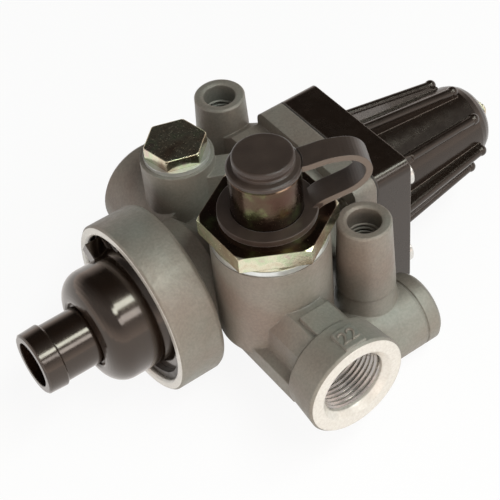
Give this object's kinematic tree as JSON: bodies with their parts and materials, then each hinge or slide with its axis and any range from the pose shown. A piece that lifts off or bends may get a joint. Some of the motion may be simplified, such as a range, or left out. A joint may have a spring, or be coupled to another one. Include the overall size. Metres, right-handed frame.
{
  "type": "compressed-air brake pressure regulator",
  "caption": "Compressed-air brake pressure regulator with a domed exhaust nozzle, threaded ports, a ribbed spring cover and a capped tyre-inflation connector.",
  "frame": {"origin": "midway between the two mounting threads, on their machined faces", "axes": "+Z out of the mounting threads, +X along the main axis from the exhaust nozzle to the ribbed spring cover, the front supply port faces -Y"},
  "size_m": [0.1728, 0.1102, 0.0866],
  "materials": {
    "cast_aluminium": "die-cast, dull, with bright machined faces",
    "turned_aluminium": "turned, satin",
    "soft_aluminium": "bright, soft washer",
    "black_plastic": "glossy moulded black",
    "black_cover": "glossy black paint on a casting",
    "spring_steel": "phosphated, dark",
    "spring_wire": "drawn wire, bright",
    "bright_steel": "bright zinc plate",
    "zinc_yellow": "yellow chromated zinc plate",
    "valve_brass": "turned, satin",
    "seal_rubber": "matte black",
    "cap_rubber": "matte brown-black"
  },
  "bodies": {
    "valve": {"valve_body": "cast_aluminium", "retaining_ring": "spring_steel", "exhaust_housing": "black_plastic", "housing_seal": "seal_rubber", "exhaust_valve_spring": "spring_wire", "governor_spring": "spring_wire", "cover_gasket": "seal_rubber", "spring_cover": "black_cover", "cover_screw_1": "bright_steel", "cover_screw_2": "bright_steel", "cover_screw_3": "bright_steel", "cover_screw_4": "bright_steel", "hex_plug": "zinc_yellow", "plug_washer": "soft_aluminium", "check_valve_spring": "spring_wire", "inflation_connector": "zinc_yellow", "connector_washer": "soft_aluminium", "plunger_spring": "spring_wire", "cap_strap": "cap_rubber"},
    "unloader": {"exhaust_valve": "valve_brass", "valve_facing": "seal_rubber", "unloader_piston": "turned_aluminium", "unloader_piston_seal": "seal_rubber"},
    "governor": {"governor_piston": "turned_aluminium", "governor_piston_seal": "seal_rubber"},
    "seat": {"spring_seat": "turned_aluminium"},
    "adjuster": {"adjusting_screw": "zinc_yellow"},
    "nut": {"lock_nut": "zinc_yellow"},
    "check": {"check_valve": "valve_brass"},
    "plunger": {"inflation_plunger": "valve_brass"},
    "cap": {"dust_cap": "cap_rubber"}
  },
  "joints": [
    {"name": "unloader_slide", "type": "slide", "parent": "valve", "child": "unloader", "axis": [-1, 0, 0], "range_m": [0, 0.003], "stiffness_N_per_m": 600, "springref_m": -0.004, "deforming": ["exhaust_valve_spring"]},
    {"name": "governor_slide", "type": "slide", "parent": "valve", "child": "governor", "axis": [1, 0, 0], "range_m": [0, 0.003], "stiffness_N_per_m": 1500, "springref_m": -0.006, "deforming": ["governor_spring"]},
    {"name": "seat_advance", "type": "slide", "parent": "valve", "child": "seat", "axis": [1, 0, 0], "range_m": [-0.002, 0.002], "deforming": ["governor_spring"]},
    {"name": "adjuster_turn", "type": "hinge", "parent": "seat", "child": "adjuster", "pos_m": [0.0734, 0, -0.0262], "axis": [1, 0, 0], "range_deg": [-722, 722]},
    {"name": "lock_nut_turn", "type": "hinge", "parent": "valve", "child": "nut", "pos_m": [0.0754, 0, -0.0262], "axis": [1, 0, 0], "continuous": true},
    {"name": "check_slide", "type": "slide", "parent": "valve", "child": "check", "axis": [0, 0, 1], "range_m": [0, 0.003], "stiffness_N_per_m": 200, "springref_m": -0.003, "deforming": ["check_valve_spring"]},
    {"name": "plunger_slide", "type": "slide", "parent": "valve", "child": "plunger", "axis": [0, 0, -1], "range_m": [0, 0.004], "stiffness_N_per_m": 300, "springref_m": -0.003, "deforming": ["plunger_spring"]},
    {"name": "cap_pull", "type": "slide", "parent": "valve", "child": "cap", "axis": [0, 0, 1], "range_m": [0, 0.009], "deforming": ["cap_strap"]}
  ],
  "couplings": [
    {"joint": "adjuster_turn", "follows": "seat_advance", "rad_per_m": 6283.2}
  ]
}
